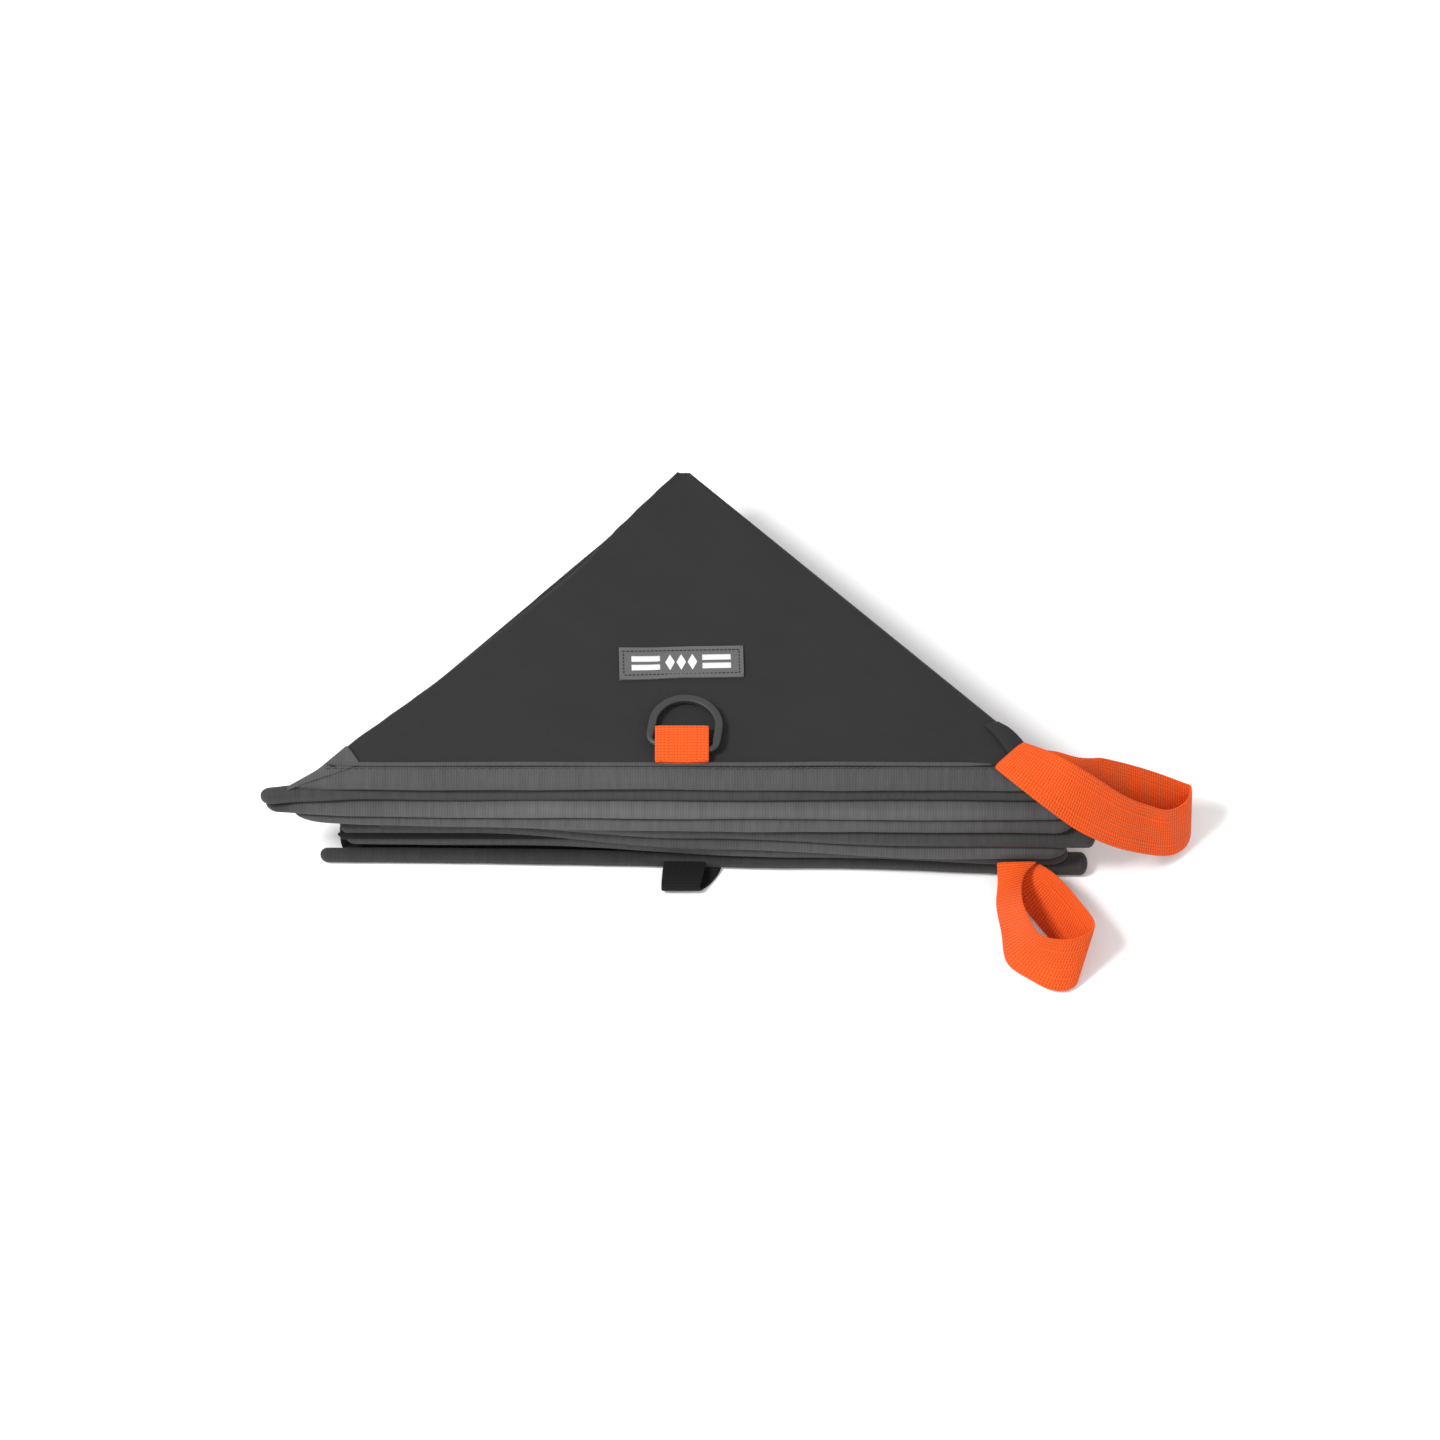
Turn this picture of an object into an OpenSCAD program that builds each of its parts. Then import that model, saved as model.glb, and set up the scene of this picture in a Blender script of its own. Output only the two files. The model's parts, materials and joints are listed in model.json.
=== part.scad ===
// Collapsible fabric storage cube, folded flat to a triangle.
// The square tub has a rod in each of its twelve edges. Folded along both
// diagonals of every face it becomes four stacked quarters, hinged on the legs
// of the triangle. Frame: +Z up, hypotenuse to the front (-Y), apex to the
// back, origin under the lowest quarter at the triangle's centroid.

/* [Cube] */
// Edge length of the cube, the triangle's hypotenuse
edge_len = 400; // [380:5:420]
// Height of one folded quarter and the space above it
pitch = 17.5; // [17.5:0.5:20]
// Space between two neighbouring quarters
quarter_gap = 0.4; // [0.3:0.1:0.6]

/* [Edge tubes] */
// Depth of a flattened fabric sleeve, front to back
sleeve_depth = 12.5; // [11:0.5:14]
// Height of a flattened fabric sleeve
sleeve_h = 8.5; // [8.5:0.1:8.5]
// Thickness of the sleeve fabric
sleeve_wall = 0.6; // [0.5:0.1:0.9]
// Length taken off each end of a sleeve at the corner
sleeve_trim = 3; // [2:0.5:6]
// Diameter of a rod
rod_d = 5; // [4:0.5:6]
// Length of a rod with its two end caps
rod_len = 366; // [350:2:368]
// Length of a rod's end cap
cap_len = 12; // [8:1:16]
// Diameter of a rod's end cap
cap_d = 6.4; // [6.2:0.1:6.8]

/* [Panels] */
// Thickness of a fabric panel
panel_t = 0.6; // [0.5:0.1:0.8]
// Height of the topmost panel's apex above the floor
apex_h = 55.7; // [55.7:0.1:58]
// Inset of a panel's edges from the fold lines
panel_inset = 0.6; // [0.5:0.1:2]

/* [Fittings] */
// Width of the orange webbing tab that holds the ring
tab_w = 26.5; // [24:0.5:26.5]
// Outer width of the D-ring
ring_w = 39.6; // [39.6:0.2:42]
// Width of the D-ring's flat bar
ring_bar = 3.9; // [3:0.1:3.9]
// Thickness of the D-ring
ring_t = 3; // [2:0.2:3.2]
// Height of the D-ring from its pivot bar to its crown
ring_h = 32.4; // [30:0.2:36]
// Clockwise turn of the D-ring as it lies on the panel
ring_turn = 8; // [0:1:10]
// Width of the woven label
label_w = 64; // [56:0.5:70]
// Height of the woven label
label_h = 19.5; // [16:0.5:22]
// Turn of the label as it is sewn on
label_turn = 1.4; // [0:0.2:3]
// Thickness of webbing
webbing_t = 1.4; // [1:0.1:1.6]
// Width of the black webbing loop
black_w = 30; // [25:1:32]
// How far the black loop stands out in front
black_out = 15; // [14:1:22]

/* [Hidden] */
$fn = 64;
half = edge_len / 2;
front_y = -edge_len / 6;
apex_y = edge_len / 3;
quarter_t = pitch - quarter_gap;
cap_r = cap_d / 2;
rod_r = rod_d / 2;
bore_r = sleeve_h / 2 - sleeve_wall;
span = sleeve_depth - sleeve_h;
fit_gap = 0.05;

// Each quarter lies a little further forward and right than the one above it.
BASE_AT = [9, -10];
LOWER_AT = [11, -13];
UPPER_AT = [1, -7];
TOP_AT = [0, 0];
QUARTERS = ["base", "lower", "upper", "top"];
OFFSETS = [BASE_AT, LOWER_AT, UPPER_AT, TOP_AT];
TUBES = ["low", "high", "rear"];
LEAVES = ["bottom", "second", "middle", "fourth", "outer"];

// A tube's place in its quarter: [depth behind the front line, height of its middle].
TUBE_AT = [
    [0, sleeve_h / 2],
    [0, quarter_t - sleeve_h / 2],
    [sleeve_depth + 2 * fit_gap, quarter_t / 2]
];
// Height of each panel's underside at its front edge.
LEAF_Z = [0, 4.2, 8.25, 12.3, quarter_t - panel_t];
// The outer two panels start against the round back of the front sleeves, the
// inner three behind all the sleeves.
sleeve_r = sleeve_h / 2;
round_back = sqrt(pow(sleeve_r, 2) - pow(sleeve_r - panel_t, 2));
outer_start = sleeve_depth - sleeve_r + round_back + fit_gap;
inner_start = 2 * sleeve_depth + 0.4;
LEAF_FRONT = [outer_start, inner_start, inner_start, inner_start, outer_start];

// The topmost panel falls from the front to the apex.
top_z = 3 * pitch;
slope_from = front_y + LEAF_FRONT[4];
slope_run = apex_y - slope_from;
panel_z = top_z + quarter_t;
slope_deg = atan((panel_z - apex_h) / slope_run);
function panel_height(y) = panel_z - (y - slope_from) * tan(slope_deg);

// The ring's pivot bar lies in the webbing tab, just above the panel.
fitting_x = -1.5;
tab_front = front_y + sleeve_depth - 0.2;
tab_len = 20.5;
tab_inner_h = ring_t + 1.6;
ring_y = tab_front + 8.4;
ring_z = panel_height(ring_y) + webbing_t + tab_inner_h / 2;
ring_lean = slope_deg + 2;

// Edges of the two orange loops, going out along one strand and back along the other.
UPPER_LOOP = [
    [[157, -57.5, 72], [172, -42.5, 71.3]],
    [[169, -70, 73.8], [184, -49.5, 74.8]],
    [[182, -77.5, 66.5], [195, -57, 77]],
    [[200, -83, 51], [209, -62, 69]],
    [[218.5, -82, 33], [224, -64, 54]],
    [[236, -77.5, 17], [238, -62, 40]],
    [[249.5, -72.5, 6.5], [249, -60, 32]],
    [[258, -65.5, 2.2], [258, -53, 29]],
    [[261, -57.5, 2], [260.5, -45, 29.5]],
    [[257, -54, 4], [256, -43, 31]],
    [[237, -54, 17], [236.5, -41.5, 42]],
    [[216, -57.5, 37], [215, -44, 57]],
    [[205, -60, 57], [208, -45.5, 65.5]],
    [[195.5, -62.5, 69.6], [200, -48.5, 69.8]],
    [[180, -65.5, 70.8], [190.5, -48, 70.3]],
    [[167, -65, 70.6], [182.5, -46.5, 70.4]],
    [[158, -57.5, 70.5], [173, -42.5, 69.9]]
];
LOWER_LOOP = [
    [[160, -84.5, 20.8], [181, -84, 20.8]],
    [[160.5, -94, 14], [173.5, -94, 23]],
    [[160, -103, 8], [172, -111, 29]],
    [[162.5, -116, 3], [176, -124, 30]],
    [[165, -133, 1.8], [181, -131, 28]],
    [[177, -143, 1.8], [190, -133, 27]],
    [[187, -148.5, 1.8], [198, -132, 26]],
    [[196, -148.5, 1.8], [206.5, -127.5, 25]],
    [[200, -142, 1.8], [208.5, -121.5, 26]],
    [[190, -123, 1.2], [201, -110, 27]],
    [[178.5, -107, 2], [193, -98.5, 26]],
    [[168.5, -95.5, 8.5], [187, -89.5, 21.5]],
    [[161, -85, 17.4], [182, -84, 18.2]]
];
LOOP_STEPS = 40;

quarter_nodes = [
    for (q = QUARTERS) each concat(
        [for (t = TUBES) str(q, "_rod_", t)],
        [for (t = TUBES) str(q, "_sleeve_", t)],
        [for (l = LEAVES) str(q, "_panel_", l)],
        [str(q, "_rod_caps")]
    )
];

// The prism of one quarter, moved in from the front line and, along x, from the legs.
module quarter_prism(front_inset, leg_inset, h) {
    reach = leg_inset + front_inset;
    linear_extrude(height = h) polygon([
        [-half + reach, front_y + front_inset],
        [half - reach, front_y + front_inset],
        [0, apex_y - leg_inset]
    ]);
}

// Flattened tube outline: x is height, y is depth.
module stadium(h, depth) {
    straight = depth - h;
    translate([0, h / 2]) circle(d = h);
    translate([0, h / 2 + straight]) circle(d = h);
    translate([-h / 2, h / 2]) square([h, straight]);
}

module sleeve(i, t) {
    at = TUBE_AT[t];
    color("dimgray")
    translate([OFFSETS[i][0], OFFSETS[i][1], i * pitch])
    intersection() {
        translate([-half, front_y + at[0], at[1]])
        rotate([0, 90, 0])
        linear_extrude(height = edge_len)
        difference() {
            stadium(sleeve_h, sleeve_depth);
            translate([0, sleeve_wall])
                stadium(2 * bore_r, sleeve_depth - 2 * sleeve_wall);
        }
        quarter_prism(0, sleeve_trim, pitch);
    }
}

// Places its children on a rod's axis, which is pushed to the back of its sleeve.
module on_rod_axis(i, t) {
    at = TUBE_AT[t];
    forward = t == 2 ? sleeve_h / 2 : sleeve_h / 2 + span;
    translate([OFFSETS[i][0], OFFSETS[i][1] + front_y + at[0] + forward, i * pitch + at[1]])
    rotate([0, 90, 0]) children();
}

module rod(i, t) {
    bare = rod_len - 2 * cap_len;
    color("gainsboro") on_rod_axis(i, t)
        cylinder(r = rod_r, h = bare, center = true);
}

module cap() {
    cylinder(r = cap_r, h = cap_len - cap_r);
    translate([0, 0, cap_len - cap_r]) cylinder(r1 = cap_r, r2 = cap_r / 2, h = cap_r);
}

module rod_caps(i) {
    color("black")
    for (t = [0:2]) on_rod_axis(i, t)
        for (side = [0, 1]) mirror([0, 0, side])
            translate([0, 0, rod_len / 2 - cap_len]) cap();
}

// One fabric panel. In the top quarter the panels draw together at the apex.
module leaf(i, k) {
    start = LEAF_FRONT[k];
    gather_z = apex_h - top_z - panel_t - (4 - k) * (panel_t + fit_gap / 2);
    fall = i == 3 ? max(LEAF_Z[k] - gather_z, 0) : 0;
    angle = atan(fall / (apex_y - front_y - start));
    color([0.2, 0.2, 0.21])
    translate([OFFSETS[i][0], OFFSETS[i][1], i * pitch])
    intersection() {
        translate([-half, front_y + start, LEAF_Z[k]])
        rotate([-angle, 0, 0])
            cube([edge_len, edge_len / 2 + 5, panel_t]);
        translate([0, 0, -1]) quarter_prism(panel_inset, panel_inset * sqrt(2), pitch + 2);
    }
}

// Places its children on the sloping top panel.
module on_top_panel(y) {
    translate([0, y, panel_height(y)]) rotate([-slope_deg, 0, 0]) children();
}

module label_patch() {
    label_t = 0.8;
    color("gray") on_top_panel(9)
        translate([-2, 0, fit_gap + label_t / 2]) rotate([0, 0, label_turn])
        cube([label_w, label_h, label_t], center = true);
}

// A flat loop of webbing, sewn down at the front, with room for the ring's bar.
module ring_tab() {
    outer_h = tab_inner_h + 2 * webbing_t;
    bend = tab_len - outer_h / 2;
    color("orangered")
    translate([fitting_x - tab_w / 2, 0, 0]) on_top_panel(tab_front)
    translate([0, 0, fit_gap + outer_h / 2])
    rotate([90, 0, 90])
    linear_extrude(height = tab_w)
    difference() {
        union() {
            translate([0, -outer_h / 2]) square([bend, outer_h]);
            translate([bend, 0]) circle(d = outer_h);
        }
        translate([webbing_t, -tab_inner_h / 2]) square([bend - webbing_t, tab_inner_h]);
        translate([bend, 0]) circle(d = tab_inner_h);
    }
}

// A flat arch: straight legs up from y = start, then a half circle.
module arch(r, leg, start) {
    translate([-r, start]) square([2 * r, leg - start]);
    intersection() {
        translate([0, leg]) circle(r = r);
        translate([-r, leg]) square([2 * r, r]);
    }
}

// The ring: a round pivot bar, two straight legs and a half-round crown.
module d_ring() {
    outer_r = ring_w / 2;
    inner_r = outer_r - ring_bar;
    leg = ring_h - outer_r;
    color([0.22, 0.22, 0.23])
    translate([fitting_x, ring_y, ring_z])
    rotate([0, 0, -ring_turn]) rotate([-ring_lean, 0, 0])
    union() {
        rotate([0, 90, 0])
            cylinder(d = ring_t + 0.2, h = 2 * inner_r + ring_bar, center = true);
        translate([0, 0, -ring_t / 2]) linear_extrude(height = ring_t)
        difference() {
            arch(outer_r, leg, -ring_bar / 2);
            arch(inner_r, leg, -ring_bar);
        }
    }
}

// Point at u on the smooth curve through the points, by Catmull-Rom.
function smooth_at(pts, u) =
    let (
        last = len(pts) - 1,
        i = min(floor(u), last - 1),
        s = u - i,
        p0 = pts[max(i - 1, 0)],
        p1 = pts[i],
        p2 = pts[i + 1],
        p3 = pts[min(i + 2, last)]
    )
    0.5 * (2 * p1 + (p2 - p0) * s + (2 * p0 - 5 * p1 + 4 * p2 - p3) * s * s
        + (3 * p1 - p0 - 3 * p2 + p3) * s * s * s);

function unit(v) = v / norm(v);

// A strip of webbing between two edge curves, as one closed solid.
module webbing_strip(edges, steps) {
    near = [for (e = edges) e[0]];
    far = [for (e = edges) e[1]];
    last = len(edges) - 1;
    us = [for (k = [0:steps]) k * last / steps];
    rings = [
        for (k = [0:steps])
            let (
                a = smooth_at(near, us[k]),
                b = smooth_at(far, us[k]),
                before = smooth_at(near, us[max(k - 1, 0)]) + smooth_at(far, us[max(k - 1, 0)]),
                after = smooth_at(near, us[min(k + 1, steps)])
                    + smooth_at(far, us[min(k + 1, steps)]),
                n = unit(cross(b - a, after - before)) * webbing_t / 2
            )
            [a - n, b - n, b + n, a + n]
    ];
    points = [for (r = rings) each r];
    sides = [
        for (k = [0:steps - 1]) for (c = [0:3])
            let (d = (c + 1) % 4)
            each [
                [4 * k + c, 4 * k + d, 4 * k + 4 + d],
                [4 * k + c, 4 * k + 4 + d, 4 * k + 4 + c]
            ]
    ];
    ends = [[3, 2, 1, 0], [for (c = [0:3]) 4 * steps + c]];
    color("orangered") polyhedron(points = points, faces = concat(sides, ends));
}

module upper_webbing_loop() {
    webbing_strip(UPPER_LOOP, LOOP_STEPS);
}

module lower_webbing_loop() {
    webbing_strip(LOWER_LOOP, LOOP_STEPS);
}

// A short loop of black webbing that stands out under the front of the base.
module black_webbing_loop() {
    loop_h = 10;
    bend = loop_h / 2 - black_out;
    inner_h = loop_h - 2 * webbing_t;
    front = front_y + BASE_AT[1] - 0.2;
    color([0.08, 0.08, 0.08])
    translate([2 - black_w / 2, front, panel_t + loop_h / 2])
    rotate([90, 0, 90])
    linear_extrude(height = black_w)
    difference() {
        union() {
            translate([bend, 0]) circle(d = loop_h);
            translate([bend, -loop_h / 2]) square([-bend, loop_h]);
        }
        translate([bend, 0]) circle(d = inner_h);
        translate([bend, -inner_h / 2]) square([-bend - webbing_t, inner_h]);
    }
}

for (i = [0:3]) {
    for (t = [0:2]) {
        rod(i, t);
        sleeve(i, t);
    }
    for (k = [0:4])
        leaf(i, k);
    rod_caps(i);
}
label_patch();
ring_tab();
d_ring();
upper_webbing_loop();
lower_webbing_loop();
black_webbing_loop();
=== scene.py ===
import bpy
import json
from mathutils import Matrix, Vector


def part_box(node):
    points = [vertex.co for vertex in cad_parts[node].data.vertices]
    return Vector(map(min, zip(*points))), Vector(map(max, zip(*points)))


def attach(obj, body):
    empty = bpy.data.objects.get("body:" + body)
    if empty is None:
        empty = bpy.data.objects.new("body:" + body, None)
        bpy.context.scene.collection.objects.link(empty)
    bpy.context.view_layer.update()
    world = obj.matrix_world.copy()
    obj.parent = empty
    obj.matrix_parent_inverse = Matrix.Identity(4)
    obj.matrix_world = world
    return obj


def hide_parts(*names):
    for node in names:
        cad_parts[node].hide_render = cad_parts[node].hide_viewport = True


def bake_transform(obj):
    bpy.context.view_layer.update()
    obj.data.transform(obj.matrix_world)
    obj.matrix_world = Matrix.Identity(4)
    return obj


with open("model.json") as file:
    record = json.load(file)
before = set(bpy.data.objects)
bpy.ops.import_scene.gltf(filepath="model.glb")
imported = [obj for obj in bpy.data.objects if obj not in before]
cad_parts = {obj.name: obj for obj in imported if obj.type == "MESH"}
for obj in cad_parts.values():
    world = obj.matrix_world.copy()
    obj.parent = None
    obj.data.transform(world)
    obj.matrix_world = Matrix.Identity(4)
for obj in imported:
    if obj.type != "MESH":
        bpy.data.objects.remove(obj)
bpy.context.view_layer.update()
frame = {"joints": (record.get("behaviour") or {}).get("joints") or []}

import json
import math

import bpy
from mathutils import Vector, noise

# ---------------------------------------------------------------- measures, in metres
EDGE = 0.400
HALF = EDGE / 2
PANEL_T = 0.0006
SLEEVE_H = 0.0085
SLEEVE_DEPTH = 0.0125
WEBBING_T = 0.0014
QUARTERS = ["base", "lower", "upper", "top"]
LEAVES = ["bottom", "second", "middle", "fourth", "outer"]
BODY = {q: q + "_quarter" for q in QUARTERS}
LEFT, RIGHT = -1, 1
UP = Vector((0, 0, 1))


# ---------------------------------------------------------------- small maths
def lerp(a, b, t):
    return a + (b - a) * t


def clamp(t, low=0.0, high=1.0):
    return max(low, min(high, t))


def ease(t):
    t = clamp(t)
    return t * t * (3 - 2 * t)


def bump_at(x, centre, width):
    """A smooth hump of height 1 around centre."""
    return math.exp(-(((x - centre) / width) ** 2))


def soft_noise(x, y=0.0, z=0.0):
    """Smooth noise from about -1 to 1, the same on every run."""
    return noise.noise(Vector((x, y, z)))


def through(knots, x):
    """The eased value at x between (x, value) knots."""
    if x <= knots[0][0]:
        return knots[0][1]
    for (x0, v0), (x1, v1) in zip(knots, knots[1:]):
        if x <= x1:
            return lerp(v0, v1, ease((x - x0) / (x1 - x0)))
    return knots[-1][1]


def spline_at(points, u):
    """The point at u on the Catmull-Rom curve through the points."""
    last = len(points) - 1
    i = min(int(u), last - 1)
    s = u - i
    p0, p1, p2, p3 = (points[clamp(k, 0, last)] for k in (i - 1, i, i + 1, i + 2))
    return 0.5 * (
        2 * p1 + (p2 - p0) * s + (2 * p0 - 5 * p1 + 4 * p2 - p3) * s * s
        + (3 * p1 - p0 - 3 * p2 + p3) * s ** 3
    )


# ---------------------------------------------------------------- node helpers
class Nodes:
    """Builds a Principled material's node tree with short calls."""

    def __init__(self, name):
        self.material = bpy.data.materials.new(name)
        self.material.use_nodes = True
        self.tree = self.material.node_tree
        self.shader = self.tree.nodes["Principled BSDF"]

    def node(self, kind, **settings):
        made = self.tree.nodes.new(kind)
        for key, value in settings.items():
            setattr(made, key, value)
        return made

    def link(self, out, into):
        self.tree.links.new(out, into)

    def math(self, operation, a, b=None):
        made = self.node("ShaderNodeMath", operation=operation)
        for socket, value in zip(made.inputs, (a, b)):
            if value is None:
                continue
            if isinstance(value, (int, float)):
                socket.default_value = value
            else:
                self.link(value, socket)
        return made.outputs[0]

    def wave(self, value, period):
        """Sine of a length in metres, with that period."""
        return self.math("SINE", self.math("MULTIPLY", value, 2 * math.pi / period))

    def noise(self, vector, size, detail=3.0):
        """Noise from 0 to 1 whose patches are about size metres across."""
        made = self.node("ShaderNodeTexNoise")
        made.inputs["Scale"].default_value = 1 / size
        made.inputs["Detail"].default_value = detail
        self.link(vector, made.inputs["Vector"])
        return made.outputs["Fac"]

    def ramp(self, fac, *stops):
        made = self.node("ShaderNodeValToRGB")
        band = made.color_ramp
        while len(band.elements) < len(stops):
            band.elements.new(0.5)
        for element, (place, colour) in zip(band.elements, stops):
            element.position = place
            element.color = (*colour, 1)
        self.link(fac, made.inputs["Fac"])
        return made.outputs["Color"]

    def cloth(self):
        """Where a point lies on the flat cloth, in metres: u along it, v across it."""
        place = self.node("ShaderNodeAttribute", attribute_name="cloth").outputs["Vector"]
        parts = self.node("ShaderNodeSeparateXYZ")
        self.link(place, parts.inputs[0])
        return place, parts.outputs[0], parts.outputs[1]

    def bump(self, height, distance, strength=1.0):
        made = self.node("ShaderNodeBump")
        made.inputs["Distance"].default_value = distance
        made.inputs["Strength"].default_value = strength
        self.link(height, made.inputs["Height"])
        self.link(made.outputs[0], self.shader.inputs["Normal"])

    def finish(self, roughness, sheen=0.0, specular=0.5):
        self.shader.inputs["Roughness"].default_value = roughness
        self.shader.inputs["Sheen Weight"].default_value = sheen
        self.shader.inputs["Sheen Roughness"].default_value = 0.5
        self.shader.inputs["Specular IOR Level"].default_value = specular
        return self.material


def shade(colour, k):
    return tuple(clamp(c * k) for c in colour)


def woven(name, colour, period, depth, mottle=0.12, sheen=0.15):
    """Plain woven cloth: crossing threads, with darker gaps and soft patches."""
    n = Nodes(name)
    place, u, v = n.cloth()
    weave = n.math("MULTIPLY", n.wave(u, period), n.wave(v, period))
    threads = n.math("MULTIPLY", n.math("ADD", weave, 1.0), 0.5)
    patches = n.noise(place, 0.03)
    fine = n.noise(place, 0.0016, 2.0)
    tone = n.math("ADD", n.math("MULTIPLY", threads, 0.45), n.math("MULTIPLY", patches, 0.35))
    tone = n.math("ADD", tone, n.math("MULTIPLY", fine, 0.2))
    colours = n.ramp(
        tone,
        (0.2, shade(colour, 1 - 2.0 * mottle)),
        (0.5, colour),
        (0.8, shade(colour, 1 + 1.6 * mottle)),
    )
    n.link(colours, n.shader.inputs["Base Color"])
    height = n.math("ADD", threads, n.math("MULTIPLY", fine, 0.5))
    n.bump(height, depth, 0.8)
    return n.finish(0.85, sheen, 0.2)


def ribbed(name, colour, period, depth, mottle):
    """Cloth with fine ribs across the tube; the cloth's third value darkens it, and lightens it below 0:
    painted shade and painted light along the sleeves.
    """
    n = Nodes(name)
    place, u, v = n.cloth()
    flat = n.node("ShaderNodeVectorMath", operation="MULTIPLY")
    flat.inputs[1].default_value = (1, 1, 0)
    n.link(place, flat.inputs[0])
    # The cloth's third value: painted shade along the sleeves, and painted light where it is below 0.
    darker = n.node("ShaderNodeSeparateXYZ")
    n.link(place, darker.inputs[0])
    place = flat.outputs[0]
    drift = n.math("MULTIPLY", n.noise(place, 0.02, 2.0), 0.0016)
    ribs = n.wave(n.math("ADD", u, drift), period)
    ribs = n.math("MULTIPLY", n.math("ADD", ribs, 1.0), 0.5)
    threads = n.math("MULTIPLY", n.math("ADD", n.wave(v, 0.0009), 1.0), 0.5)
    stretch = n.node("ShaderNodeMapping")
    stretch.inputs["Scale"].default_value = (1.0, 0.12, 1.0)
    n.link(place, stretch.inputs["Vector"])
    streaks = n.noise(stretch.outputs[0], 0.0028, 2.0)
    patches = n.noise(place, 0.035)
    tone = n.math("ADD", n.math("MULTIPLY", ribs, 0.2), n.math("MULTIPLY", streaks, 0.5))
    tone = n.math("ADD", tone, n.math("MULTIPLY", patches, 0.3))
    colours = n.ramp(
        tone,
        (0.25, shade(colour, 1 - 2.2 * mottle)),
        (0.5, colour),
        (0.78, shade(colour, 1 + 2.0 * mottle)),
    )
    # Painted shade and painted light: the colour is scaled by one less the cloth's third value.
    dimmed = n.node("ShaderNodeVectorMath", operation="SCALE")
    n.link(colours, dimmed.inputs[0])
    n.link(n.math("SUBTRACT", 1.0, darker.outputs[2]), dimmed.inputs["Scale"])
    n.link(dimmed.outputs[0], n.shader.inputs["Base Color"])
    height = n.math("ADD", n.math("MULTIPLY", streaks, 1.2), n.math("MULTIPLY", threads, 0.25))
    n.bump(n.math("ADD", height, n.math("MULTIPLY", ribs, 0.5)), depth, 0.8)
    return n.finish(0.8, 0.08, 0.2)


def moulded(name, colour, rough, grain):
    """Moulded plastic with a fine spark-eroded grain."""
    n = Nodes(name)
    place = n.node("ShaderNodeTexCoord").outputs["Object"]
    patches = n.noise(place, 0.004)
    fine = n.noise(place, 0.0004, 4.0)
    tone = n.math("ADD", n.math("MULTIPLY", patches, 0.6), n.math("MULTIPLY", fine, 0.4))
    colours = n.ramp(tone, (0.3, shade(colour, 0.85)), (0.7, shade(colour, 1.15)))
    n.link(colours, n.shader.inputs["Base Color"])
    n.bump(fine, grain, 0.5)
    return n.finish(rough, 0.0, 0.5)


def webbing(name, colour, depth, contrast):
    """Flat woven webbing: weft ribs across it, warp columns along it, and a firm edge."""
    n = Nodes(name)
    place, u, v = n.cloth()
    column = n.math("FLOOR", n.math("DIVIDE", v, 0.0017))
    step = n.math("MULTIPLY", n.math("MODULO", n.math("ABSOLUTE", column), 2.0), 0.00022)
    ribs = n.wave(n.math("ADD", u, step), 0.0015)
    columns = n.wave(v, 0.0017)
    threads = n.math("ADD", n.math("MULTIPLY", ribs, 0.7), n.math("MULTIPLY", columns, 0.3))
    threads = n.math("MULTIPLY", n.math("ADD", threads, 1.0), 0.5)
    fuzz = n.noise(place, 0.0009, 3.0)
    patches = n.noise(place, 0.02)
    tone = n.math("ADD", n.math("MULTIPLY", threads, 0.55), n.math("MULTIPLY", fuzz, 0.25))
    tone = n.math("ADD", tone, n.math("MULTIPLY", patches, 0.2))
    colours = n.ramp(
        tone,
        (0.22, shade(colour, 1 - contrast)),
        (0.5, colour),
        (0.75, shade(colour, 1 + 0.6 * contrast)),
    )
    n.link(colours, n.shader.inputs["Base Color"])
    n.bump(n.math("ADD", threads, n.math("MULTIPLY", fuzz, 0.4)), depth, 0.9)
    return n.finish(0.75, 0.05, 0.15)


# Colours are linear; periods, depths and grains are in metres.
PANEL = woven("panel_cloth", (0.0205, 0.0205, 0.0205), 0.0011, 0.00006, mottle=0.09, sheen=0.03)
LINING = woven("lining_cloth", (0.020, 0.020, 0.0205), 0.0011, 0.00006, mottle=0.1, sheen=0.03)
SLEEVE = ribbed("sleeve_cloth", (0.067, 0.067, 0.068), 0.0014, 0.00016, mottle=0.12)
ORANGE = webbing("orange_webbing", (0.74, 0.086, 0.010), 0.0003, contrast=0.4)
BLACK = webbing("black_webbing", (0.006, 0.006, 0.0065), 0.0003, contrast=0.5)
LABEL = woven("label_cloth", (0.105, 0.105, 0.108), 0.0008, 0.00008, mottle=0.14)
LABEL_MARK = woven("label_mark", (0.72, 0.72, 0.72), 0.0006, 0.00005, mottle=0.06)
THREAD_DARK = woven("dark_thread", (0.012, 0.012, 0.013), 0.0006, 0.00004)
THREAD_GREY = woven("grey_thread", (0.07, 0.07, 0.072), 0.0006, 0.00004)
RING = moulded("ring_plastic", (0.029, 0.029, 0.030), rough=0.5, grain=0.00003)
CAP = moulded("cap_plastic", (0.02, 0.02, 0.02), rough=0.5, grain=0.00003)
ROD = moulded("rod_glassfibre", (0.55, 0.56, 0.52), rough=0.35, grain=0.00002)


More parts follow.
